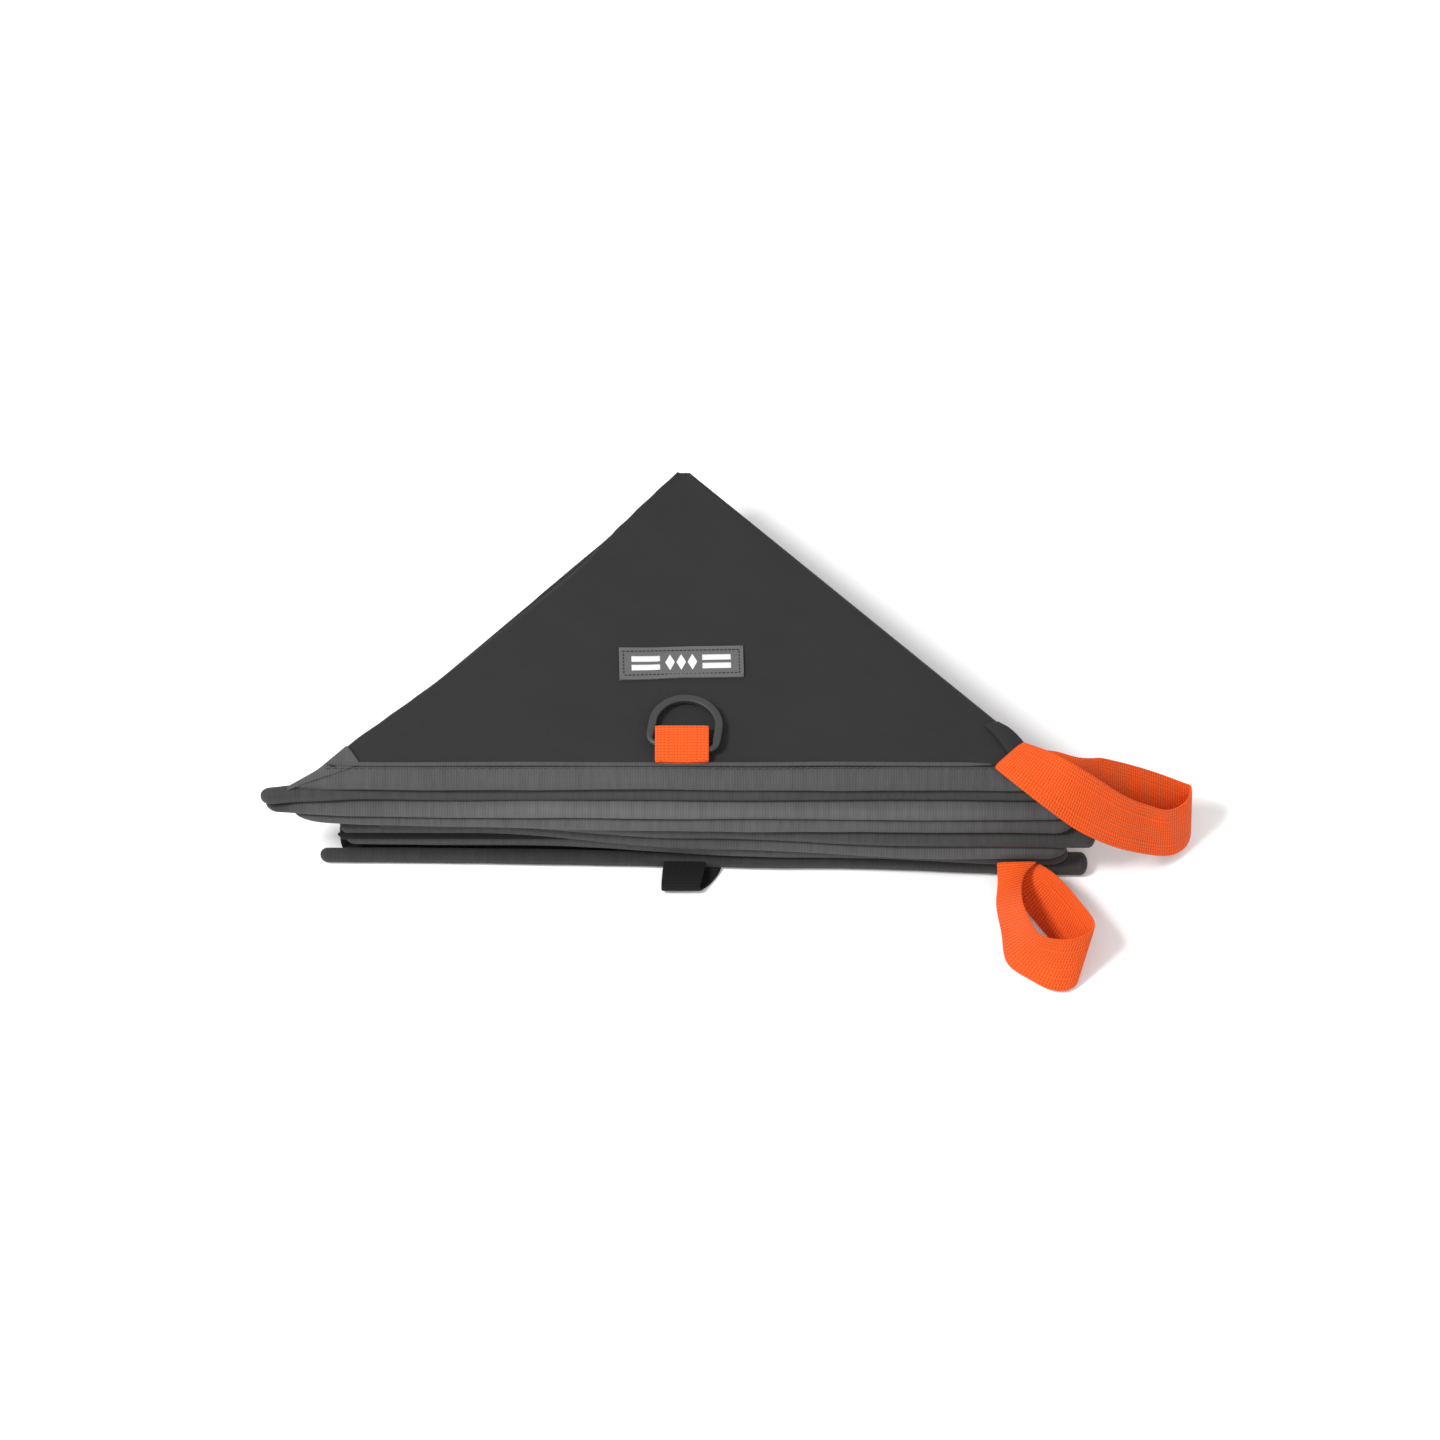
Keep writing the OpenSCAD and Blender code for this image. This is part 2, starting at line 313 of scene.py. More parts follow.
# ---------------------------------------------------------------- mesh helpers
def grid(name, rows, material, around=False, capped=False, place=None):
    """A mesh from rows of points. around closes each row into a ring, capped fills both ends.

    place gives each point's (u, v) on the cloth; without it they are measured on the mesh."""
    count = len(rows[0])
    points = [p for row in rows for p in row]
    faces = []
    for r in range(len(rows) - 1):
        for c in range(count if around else count - 1):
            d = (c + 1) % count
            faces.append((r * count + c, r * count + d, (r + 1) * count + d, (r + 1) * count + c))
    if capped:
        last = (len(rows) - 1) * count
        faces.append(tuple(reversed(range(count))))
        faces.append(tuple(range(last, last + count)))
    mesh = bpy.data.meshes.new(name)
    mesh.from_pydata([tuple(p) for p in points], [], faces)
    if place is None:
        middle = [row[count // 2] for row in rows]
        u = [0.0]
        for a, b in zip(middle, middle[1:]):
            u.append(u[-1] + (Vector(b) - Vector(a)).length)
        place = []
        for k, row in enumerate(rows):
            v = 0.0
            for c, p in enumerate(row):
                if c:
                    v += (Vector(p) - Vector(row[c - 1])).length
                place.append((u[k], v, 0.0))
    layer = mesh.attributes.new("cloth", "FLOAT_VECTOR", "POINT")
    layer.data.foreach_set("vector", [x for p in place for x in p])
    mesh.validate()
    mesh.update()
    obj = bpy.data.objects.new(name, mesh)
    bpy.context.scene.collection.objects.link(obj)
    mesh.materials.append(material)
    mesh.shade_smooth()
    return obj


def modify(obj, thickness=0.0, levels=0):
    """Gives a sheet its thickness and smooths it, with the results applied to the mesh."""
    if thickness:
        solid = obj.modifiers.new("thickness", "SOLIDIFY")
        solid.thickness = thickness
        solid.offset = 0.0
    if levels:
        smooth = obj.modifiers.new("smooth", "SUBSURF")
        smooth.levels = smooth.render_levels = levels
    bpy.context.view_layer.update()
    done = bpy.data.meshes.new_from_object(
        obj.evaluated_get(bpy.context.evaluated_depsgraph_get())
    )
    obj.modifiers.clear()
    obj.data = done
    done.shade_smooth()
    return obj


def joined(name, objects):
    """One object from several."""
    with bpy.context.temp_override(
        active_object=objects[0], object=objects[0], selected_editable_objects=objects
    ):
        bpy.ops.object.join()
    objects[0].name = name
    objects[0].data.name = name
    return objects[0]


def ring_of(centre, side, up, half_w, half_h, count, power):
    """A cross-section round centre, half_w along side and half_h along up.

    A power of 1 makes an ellipse, a smaller one a rounded rectangle."""
    out = []
    for k in range(count):
        a = 2 * math.pi * k / count
        c, s = math.cos(a), math.sin(a)
        x = math.copysign(abs(c) ** power, c) * half_w
        y = math.copysign(abs(s) ** power, s) * half_h
        out.append(centre + side * x + up * y)
    return out


# A stitch's cross-sections: share of its length, width in radii, height in radii.
STITCH = ((-0.5, 0.35, -0.6), (-0.38, 0.9, 0.1), (0, 1, 0.35), (0.38, 0.9, 0.1), (0.5, 0.35, -0.6))


def stitches(name, points, step, length, radius, material):
    """A row of short threads along a line of points, lying on the upper side of the cloth."""
    line = [Vector(p) for p in points]
    spots = []
    travelled, next_at = 0.0, step / 2
    for a, b in zip(line, line[1:]):
        span = (b - a).length
        while travelled + span >= next_at:
            at = a + (b - a) * ((next_at - travelled) / span)
            spots.append((at, (b - a).normalized()))
            next_at += step
        travelled += span
    parts = []
    for k, (at, along) in enumerate(spots):
        side = along.cross(UP).normalized()
        rows = []
        for t, r, h in STITCH:
            centre = at + along * (t * length) + UP * (h * radius)
            rows.append(ring_of(centre, side, UP, r * radius, r * radius, 6, 1))
        parts.append(grid(f"{name}_{k}", rows, material, True, True))
    return joined(name, parts)


# ---------------------------------------------------------------- where the quarters lie
def quarter_front(q):
    """The front line of a quarter: middle x and y of the hypotenuse."""
    low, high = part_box(q + "_sleeve_low")
    return (low[0] + high[0]) / 2, low[1]


def tube_height(q, tube):
    low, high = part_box(f"{q}_sleeve_{tube}")
    return (low[2] + high[2]) / 2


def leaf_height(q, leaf, y):
    """Height of the middle of a panel at y, from its CAD box: flat, or falling to the apex."""
    low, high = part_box(f"{q}_panel_{leaf}")
    t = clamp((y - low[1]) / (high[1] - low[1]), -0.1, 1.1)
    return lerp(high[2] - PANEL_T / 2, low[2] + PANEL_T / 2, t)


def leaf_span(q, leaf):
    """Where a panel starts and ends in y."""
    low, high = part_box(f"{q}_panel_{leaf}")
    return low[1], high[1]


# How far the left fold line of the topmost panel bows in, by y, in millimetres.
LEFT_BOW = [
    (-60, 6), (-52, 4.2), (-45, 1.6), (-40, 1.5), (-27, 3.6), (-15, 5.1), (-2, 6.2), (22, 6.7),
    (35, 7.4), (60, 7.2), (72, 6.0), (85, 2.6), (97, 0), (110, -2.4), (122, -4.2), (134, -5.5),
]
# How much of it each of the top quarter's panels takes, from the lowest up.
BOW_SHARE = (0, 0.35, 0.65, 0.88, 1.0)


def leg_x(q, side, y, inset, k=0):
    """x of a quarter's leg at y for its panel k, moved in by inset."""
    middle, front = quarter_front(q)
    bow = 0.0
    if side == LEFT and q == "top":
        bow = through(LEFT_BOW, y * 1000) / 1000 * BOW_SHARE[k]
    return middle + side * (HALF - (y - front) - inset - bow)


# ---------------------------------------------------------------- folded panels
# Heights of the soft undulation: the topmost panel, the others above a fold, those below one.
TOP_RIPPLE, UPPER_RIPPLE, LOWER_RIPPLE = 0.0024, 0.0006, 0.0005
# How far short of the CAD panel's back a panel stops, so that no two points coincide there.
TOP_APEX_CUT, APEX_CUT, STRIP_APEX_CUT = 0.0022, 0.004, 0.006
# How far inside the CAD edge an open edge lies, how much further one with a flap, and a fold.
OPEN_INSET, FLAP_INSET, FOLD_INSET = 0.0016, 0.0012, 0.0006
# How far a fold stands out: at least this, and more with half the height that it goes round.
BULGE_LEAST, BULGE_SHARE = 0.0012, 0.16
# How far the fold strips' turn stands out of the panels' edges, up to about the hinge line.
TO_HINGE = 0.0045
# How far a strip lies on the panel at each side, and half the height in which it bends.
STRIP_LAP, STRIP_REACH = 0.006, 0.0008
# The share of a step across a leg that goes into x, and as much into y.
DIAGONAL = 0.7
FLAP_DROP = 0.013
TURN_STEPS, FLAP_STEPS = 12, 5


def ripple(x, y, seed, amount):
    """Soft undulation of a panel, in metres of height."""
    broad = soft_noise(x * 11, y * 14, seed)
    fine = soft_noise(x * 34, y * 40, seed + 7.3)
    return amount * (0.8 * broad + 0.3 * fine)


def top_wrinkles(x, y):
    """The small folds near both corners of the topmost panel and its slack middle."""
    left = 0.0015 * bump_at(x, -0.150, 0.028) * math.sin((x - y * 1.2) * 420)
    right = 0.0015 * bump_at(x, 0.150, 0.024) * math.sin((x + y * 1.5) * 380)
    slack = -0.0018 * bump_at(x, 0.03, 0.10) * bump_at(y, 0.03, 0.05)
    leg = 0.0008 * bump_at(x + y, -0.02, 0.05) * math.sin((x - y) * 60)
    return left + right + slack + leg


def turn_round(start, end, outward, bulge, crease):
    """Points round a fold from start to end; crease(phi) adds to how far they stand out."""
    points = []
    for a in range(1, TURN_STEPS):
        phi = math.pi * a / TURN_STEPS
        on_chord = start.lerp(end, (1 - math.cos(phi)) / 2)
        points.append(on_chord + outward * (bulge * math.sin(phi) ** 0.8 + crease(phi)))
    return points


def blend_at_hinge(obj):
    """Bakes the object's transform into its mesh."""
    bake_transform(obj)


def leaf_ends(q, side, y, open_inset, fold_inset, k=0):
    """x of a panel's open edge and of its fold at y, or twice the middle near the apex."""
    far, near = leg_x(q, -side, y, open_inset), leg_x(q, side, y, fold_inset, k)
    if (far - near) * side > 0:
        far = near = (far + near) / 2
    return far, near


def away_from_ends(s):
    """0 at both ends of a panel's width, 1 over most of it."""
    return min(1.0, 4 * s, 4 * (1 - s))


def folded_panel(name, upper, lower, side, k_upper, k_lower, rows, cols, material, flap=0.0):
    """One face's cloth: a panel of the upper quarter, its fold round the leg, and the lower panel.

    The cloth starts at the far leg of the upper panel, with a flap hanging there if asked for,
    and ends at the far leg of the lower one."""
    leaf_u, leaf_l = LEAVES[k_upper], LEAVES[k_lower]
    u0, u1 = leaf_span(upper, leaf_u)
    l0, l1 = leaf_span(lower, leaf_l)
    goes_round = (leaf_height(upper, leaf_u, u0) - leaf_height(lower, leaf_l, l0)) / 2
    bulge_full = BULGE_LEAST + BULGE_SHARE * goes_round
    # The innermost fold goes round nearly nothing, so its leaves stay flat beside the hinge.
    slack = min(1.0, goes_round / 0.002) if goes_round > 0.001 else 0.0
    outward = Vector((side, 1, 0)).normalized()
    outermost = k_upper == 4 and upper == "top"
    on_floor = lower == "base" and k_lower == 0
    inset = bulge_full + FOLD_INSET
    made = []
    for r in range(rows + 1):
        t = r / rows
        yu = lerp(u0, u1 - (TOP_APEX_CUT if outermost else APEX_CUT), t)
        yl = lerp(l0, l1 - APEX_CUT, t)
        wobble = 0.0011 * soft_noise(t * 5, k_upper * 3.1, 2.2)
        bulge = bulge_full * (1 - 0.35 * t) + wobble * (1 - t) * t * 3
        far_u, near_u = leaf_ends(
            upper, side, yu, OPEN_INSET + (FLAP_INSET if flap else 0), inset, k_upper
        )
        far_l, near_l = leaf_ends(lower, side, yl, OPEN_INSET, inset)
        zu = leaf_height(upper, leaf_u, yu)
        row = []
        for a in range(FLAP_STEPS if flap else 0):
            s = a / FLAP_STEPS
            x = far_u - side * 0.0014 * math.sin(s * math.pi / 2 + 0.4)
            drop = flap * (1 - 0.55 * t) * (1 - s)
            row.append(Vector((x, yu + 0.0009, zu - drop - 0.0005)))
        for c in range(cols + 1):
            s = c / cols
            x = lerp(far_u, near_u, s)
            edge = away_from_ends(s)
            if outermost:
                z = zu + (ripple(x, yu, 4.0, TOP_RIPPLE) * edge + top_wrinkles(x, yu) * edge)
                z -= 0.0010 * (1 - min(1.0, 14 * s)) ** 2
            else:
                z = zu + ripple(x, yu, k_upper + 11.0, UPPER_RIPPLE) * edge * slack
            row.append(Vector((x, yu, z)))
        start = row[-1]
        end = Vector((near_l, yl, leaf_height(lower, leaf_l, yl)))
        row += turn_round(
            start, end, outward, bulge,
            lambda phi: 0.0007 * soft_noise(t * 9, phi * 1.3, k_upper + 5) * math.sin(phi),
        )
        for c in range(cols + 1):
            s = c / cols
            x = lerp(near_l, far_l, s)
            wave = ripple(x, yl, k_lower + 23.0, LOWER_RIPPLE) * away_from_ends(s)
            row.append(Vector((x, yl, end.z + wave * (0 if on_floor else slack))))
        made.append(row)
    obj = modify(grid(name, made, material), PANEL_T * 0.9)
    blend_at_hinge(obj)
    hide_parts(f"{upper}_panel_{leaf_u}", f"{lower}_panel_{leaf_l}")


def fold_strip(name, upper, lower, side, k_upper, k_lower, rows, material):
    """The cloth that turns round a leg between two panels that are already covered."""
    leaf_u, leaf_l = LEAVES[k_upper], LEAVES[k_lower]
    u0, u1 = leaf_span(upper, leaf_u)
    l0, l1 = leaf_span(lower, leaf_l)
    inward, outward = -Vector((side, 1, 0)), Vector((side, 1, 0)).normalized()
    over = PANEL_T * 1.05
    made = []
    for r in range(rows + 1):
        t = r / rows
        yu, yl = lerp(u0, u1 - STRIP_APEX_CUT, t), lerp(l0, l1 - STRIP_APEX_CUT, t)
        start = Vector((leg_x(upper, side, yu, OPEN_INSET), yu, leaf_height(upper, leaf_u, yu) + over))
        end = Vector((leg_x(lower, side, yl, OPEN_INSET), yl, leaf_height(lower, leaf_l, yl) - over))
        row = [start + inward * (STRIP_LAP * (1 - c / 3)) * DIAGONAL for c in range(3)] + [start]
        row += turn_round(
            start, end, outward, TO_HINGE,
            lambda phi: -0.0004 * (1 + soft_noise(t * 8, phi * 1.7, k_upper + 31))
            * abs(math.sin(2 * phi)),
        )
        row += [end + inward * (STRIP_LAP * c / 3) * DIAGONAL for c in range(4)]
        made.append(row)
    obj = grid(name, made, material)
    modify(obj, PANEL_T * 0.9)
    blend_at_hinge(obj)


for k in range(5):
    if k == 4:
        folded_panel("panel_top_upper_5", "top", "upper", LEFT, 4, 0, 64, 56, PANEL, FLAP_DROP)
    else:
        folded_panel(f"panel_top_upper_{k + 1}", "top", "upper", LEFT, k, 4 - k, 36, 20, LINING)
    folded_panel(f"panel_lower_base_{k + 1}", "lower", "base", LEFT, k, 4 - k, 36, 20,
                 PANEL if k == 4 else LINING)
for k in (0, 4):
    fold_strip(f"fold_upper_lower_{k + 1}", "upper", "lower", RIGHT, k, 4 - k, 40, PANEL)


# ---------------------------------------------------------------- edge sleeves
# How far an end cap stands past the CAD rod, and the room that a sleeve's closed end takes.
CAP_OUT, CLOSING = 0.007, 0.003
ROD_R, CAP_R = 0.0025, 0.0032
CAP_LENGTH, CAP_COVERS = 0.012, 0.006


class Tube:
    """One soft flattened sleeve along x, and the rod inside it.

    front, rise, depth and dark are (x, value) knots: the y of the front edge, the lift of the middle
    above its CAD height, the depth front to back, and painted shade darkening the cloth, with painted light
    below 0."""

    def __init__(self, q, tube, ends, front, rounding=(0.006, 0.006), rise=((0, 0),),
                 depth=((0, SLEEVE_DEPTH),), tall=((0, SLEEVE_H * 1.06),), painted_shading=((0, 0),), seed=0.0):
        self.q, self.tube, self.seed = q, tube, seed
        self.ends, self.front, self.rounding = ends, front, rounding
        self.rise, self.depth, self.tall, self.painted_shading = rise, depth, tall, painted_shading
        self.height = tube_height(q, tube)

    def size(self, x):
        """0 at the closed ends, 1 along the tube."""
        left = clamp((x - self.ends[0]) / self.rounding[0])
        right = clamp((self.ends[1] - x) / self.rounding[1])
        return math.sqrt(clamp(1 - (1 - min(left, right)) ** 2, 0.0009))

    def ring(self, x):
        size = self.size(x)
        deep = through(self.depth, x) * (1 + 0.03 * soft_noise(x * 17, self.seed, 6.0))
        tall = through(self.tall, x) * (1 + 0.07 * soft_noise(x * 19, self.seed, 4.0))
        y = through(self.front, x) + 0.0006 * soft_noise(x * 15, self.seed, 1.0)
        z = self.height + through(self.rise, x) + 0.00045 * soft_noise(x * 13, self.seed, 9.0)
        centre = Vector((x, y + deep / 2, z))
        back = Vector((0, 1, 0))
        ring = ring_of(centre, back, UP, deep / 2 * size, tall / 2 * size ** 0.7, 28, 0.7)
        for k, p in enumerate(ring):
            p.z += 0.00022 * soft_noise(p.x * 60, k * 0.35 + self.seed, 2.0) * size
            p.y += 0.00018 * soft_noise(p.x * 45, k * 0.5, self.seed) * size
        return ring

    def sleeve(self):
        steps = 150
        xs = [lerp(self.ends[0], self.ends[1], 0.5 - 0.5 * math.cos(math.pi * r / steps))
              for r in range(steps + 1)]
        rows = [self.ring(x) for x in xs]
        place = []
        for row in rows:
            v = 0.0
            for c, p in enumerate(row):
                if c:
                    v += (p - row[c - 1]).length
                # The third value paints shade into the sleeve's cloth, and paints light where it is below 0.
                place.append((p.x + self.seed, v, through(self.painted_shading, p.x)))
        name = f"sleeve_{self.q}_{self.tube}"
        obj = modify(grid(name, rows, SLEEVE, True, True, place), 0.0, 1)
        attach(obj, BODY[self.q])
        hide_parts(f"{self.q}_sleeve_{self.tube}")

    def rod_line(self):
        """Both ends of the straight rod that lies inside."""
        low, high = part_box(f"{self.q}_rod_{self.tube}")
        half = min((high[0] - low[0]) / 2 + CAP_OUT, (self.ends[1] - self.ends[0]) / 2 - CLOSING)
        middle = (self.ends[0] + self.ends[1]) / 2
        line = []
        for x in (middle - half, middle + half):
            y = through(self.front, x) + through(self.depth, x) / 2
            line.append(Vector((x, y, self.height + through(self.rise, x))))
        return line


def turned(name, start, end, profile, material):
    """A round part from start to end; profile gives (share of the length, radius)."""
    along = (end - start).normalized()
    side = along.cross(UP).normalized()
    up = side.cross(along)
    rows = [ring_of(start.lerp(end, t), side, up, r, r, 24, 1.0) for t, r in profile]
    return grid(name, rows, material, True, True)


def rods_of(q, tubes):
    """A quarter's three rods, each with its two moulded end caps."""
    caps = []
    for tube in tubes:
        start, end = tube.rod_line()
        along = (end - start).normalized()
        cut = along * CAP_COVERS
        rod = turned(f"rod_{q}_{tube.tube}", start + cut, end - cut, [(0, ROD_R), (1, ROD_R)], ROD)
        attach(rod, BODY[q])
        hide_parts(f"{q}_rod_{tube.tube}")
        profile = [(0, CAP_R * 0.5), (0.12, CAP_R * 0.85), (0.3, CAP_R), (1, CAP_R)]
        for k, (tip, way) in enumerate(((start, along), (end, -along))):
            caps.append(turned(f"cap_{q}_{tube.tube}_{k}", tip, tip + way * CAP_LENGTH,
                               profile, CAP))
    cap = joined(f"rod_caps_{q}", caps)
    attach(cap, BODY[q])
    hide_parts(f"{q}_rod_caps")


def mm(*knots):
    """Knots given in millimetres."""
    return [(x / 1000, y / 1000) for x, y in knots]


def painted_shading(*knots):
    """Knots with x in millimetres and the share by which painted shade darkens the cloth; below 0 it is
    painted light, which lightens it.
    """
    return [(x / 1000, k) for x, k in knots]


# The shares given with each sleeve paint shade and light along it: the cloth is darkened by up to 62 % as
# painted shade, and lightened by up to 45 % as painted light where the share is below 0.
FRONT_TUBES = [
    Tube("top", "high", (-0.199, 0.193),
         mm((-200, -65.8), (-120, -66.8), (0, -66.4), (90, -66.9), (200, -66.8)),
         (0.030, 0.010), rise=mm((-200, -3.4), (-165, 0.2), (200, 0)), tall=mm((-200, 6.5), (-160, 9.0)),
         depth=mm((-199, 5), (-185, 8), (-165, 12.5)),
         painted_shading=painted_shading((-200, 0.1), (0, 0.02), (190, 0.16)), seed=0.0),
    Tube("top", "low", (-0.2165, 0.195),
         mm((-216, -70), (-195, -68.5), (-165, -67.2), (0, -67.4), (200, -67.6)),
         (0.005, 0.010), rise=mm((-216, 0.2), (-180, 0.4), (-120, -0.4), (0, 0), (200, 0.2)),
         depth=mm((-216, 7.5), (-190, 8), (-165, 12.5)),
         painted_shading=painted_shading((-216, 0.42), (-190, 0.40), (0, 0.36), (190, 0.45)), seed=3.7),
    Tube("upper", "high", (-0.2145, 0.198), mm((-214, -70.5), (-170, -72.4), (0, -73.4), (200, -74.2)),
         (0.007, 0.010), rise=mm((-214, 0.6), (-175, 0.1), (-60, 0.2), (40, -0.3), (200, 0)),
         tall=mm((-214, 5.5), (-190, 8), (-160, 8.8), (-40, 9.4), (200, 8.8)),
         painted_shading=painted_shading((-212, 0.45), (-180, 0.0), (-60, -0.45), (120, -0.3), (190, 0.1)), seed=7.4),
    Tube("upper", "low", (-0.200, 0.199), mm((-200, -72.4), (-120, -74.0), (0, -76), (200, -77.2)),
         (0.016, 0.010), rise=mm((-200, 3.0), (-165, 1.6), (-60, 0.2), (200, 0)),
         tall=mm((-200, 5), (-150, 7), (-60, 8.6), (200, 9)),
         painted_shading=painted_shading((-200, 0.1), (-60, -0.15), (120, -0.05), (190, 0.2)), seed=11.1),
    Tube("lower", "high", (-0.1815, 0.2105),
         mm((-182, -66.5), (-110, -67.8), (0, -75.2), (140, -79.8), (210, -80.3)),
         (0.004, 0.004), rise=mm((-182, 0.6), (-60, 0.8), (60, 0), (200, -0.2)),
         painted_shading=painted_shading((-182, 0.2), (-40, 0.2), (60, 0.35), (210, 0.45)), seed=14.8),
    Tube("lower", "low", (-0.178, 0.196),
         mm((-180, -66.8), (-110, -67.2), (20, -77.0), (140, -82.2), (200, -82.6)),
         (0.004, 0.012), rise=mm((-178, 0.3), (200, 0)),
         painted_shading=painted_shading((-178, 0.3), (-30, 0.25), (70, 0.05), (150, 0.0), (196, 0.25)), seed=18.5),
    Tube("base", "high", (-0.176, 0.197), mm((-180, -68.4), (-90, -69.2), (60, -76.2), (200, -80.8)),
         (0.006, 0.010), painted_shading=painted_shading((-178, 0.2), (20, 0.2), (100, 0.35), (196, 0.5)), seed=22.2),
    Tube("base", "low", (-0.1885, 0.2075), mm((-190, -73.8), (-60, -75.6), (60, -78), (200, -82)),
         (0.004, 0.004), tall=mm((-188, 6.8), (-40, 7.0), (120, 8.4), (190, 8.4), (207, 9.4)),
         rise=mm((-188, -0.8), (-40, -0.6), (120, 0)),
         depth=mm((-188, 7.2), (-40, 7.6), (120, 12), (207, 12)),
         painted_shading=painted_shading((-188, 0.55), (0, 0.62), (120, 0.5), (206, 0.45)), seed=25.9),
]
for n, q in enumerate(QUARTERS):
    middle, front = quarter_front(q)
    behind = front + SLEEVE_DEPTH + 0.0004
    # The rear sleeves' cloth is darkened by 60 % all along, as painted shade.
    rear = Tube(q, "rear", (middle - 0.172, middle + 0.180), [(0, behind)],
                tall=((0, SLEEVE_H),), painted_shading=((0, 0.6),), seed=40.0 + n)
    tubes = [t for t in FRONT_TUBES if t.q == q] + [rear]
    for tube in tubes:
        tube.sleeve()
    rods_of(q, tubes)

# ---------------------------------------------------------------- top seam, label, ring and tab
def top_surface(y):
    """Height of the upper side of the topmost panel, without its undulation."""
    return leaf_height("top", "outer", y) + PANEL_T / 2


def along_seam(x, back=0.0118, lift=0.0004):
    """A point on the seam between the top sleeve and the panel, back from the sleeve's front."""
    y = -0.0666 + back + 0.0005 * soft_noise(x * 18, 3.0, 8.0)
    return Vector((x, y, top_surface(y) + lift))


SEAM_STEPS = 90
seam_xs = [lerp(-0.184, 0.157, i / SEAM_STEPS) for i in range(SEAM_STEPS + 1)]
rows = []
for i, x in enumerate(seam_xs):
    end = ease(min(i, SEAM_STEPS - i) / 4)
    rows.append(ring_of(along_seam(x), Vector((0, 1, -0.08)).normalized(), UP,
                        0.0013 * lerp(0.3, 1, end), 0.0008 * lerp(0.3, 1, end), 12, 0.9))
ridge = modify(grid("top_seam_ridge", rows, SLEEVE, True, True,
                    [(p.x, c * 0.0004, 0.1) for row in rows for c, p in enumerate(row)]), 0.0, 1)
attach(ridge, "top_quarter")

thread = stitches("top_seam_stitches", [along_seam(x, 0.0094, 0.0003) for x in seam_xs],
                  0.0036, 0.0026, 0.00028, THREAD_GREY)
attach(thread, "top_quarter")


def patch_between(name, outer, inner, drop, material, body, bulge=0.0006):
    """A soft corner piece of cloth between two curves, its outer edge turned down by drop."""
    steps = (40, 10)
    outer = [Vector(p) / 1000 for p in outer]
    inner = [Vector(p) / 1000 for p in inner]
    rows = []
    for i in range(steps[0] + 1):
        t = i / steps[0]
        a = spline_at(outer, t * (len(outer) - 1))
        b = spline_at(inner, t * (len(inner) - 1))
        row = []
        for k in range(5):
            down = 1 - k / 5
            inward = (b - a).normalized() * (-0.0006 + 0.0008 * down)
            row.append(a + Vector((0, 0, -drop * down)) + inward)
        for j in range(steps[1] + 1):
            f = j / steps[1]
            arch = math.sin(math.pi * f)
            lift = bulge * arch + 0.0005 * soft_noise(t * 4, f * 2, 17) * arch
            row.append(a.lerp(b, f) + Vector((0, 0, lift)))
        rows.append(row)
    place = []
    for row in rows:
        v = 0.0
        for c, p in enumerate(row):
            if c:
                v += (p - row[c - 1]).length
            place.append((p.x, v, 0.03))
    obj = modify(grid(name, rows, material, place=place), 0.0008)
    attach(obj, body)


patch_between(
    "left_corner_piece",
    [(-172.5, -43.8, 69.1), (-180, -50.5, 68.1), (-187, -55.8, 65.8), (-195.5, -59.6, 62.6),
     (-202, -62.6, 60.6)],
    [(-165.4, -54.6, 69.9), (-175, -58.5, 68.3), (-185, -61, 66.5), (-195, -63.5, 64.0), (-203, -65.5, 61)],
    0.005, SLEEVE, "top_quarter", bulge=0.0012,
)
patch_between(
    "right_corner_piece",
    [(160, -29, 68.3), (165.6, -33.4, 69.5), (170.4, -38.8, 69.7), (174.4, -44.4, 69.3), (178, -48.4, 69.1)],
    [(152.5, -31, 68.7), (157, -36, 69.5), (161, -42, 69.9), (165, -49, 70.1), (169, -53, 70.1)],
    0.010, PANEL, "top_quarter",
)


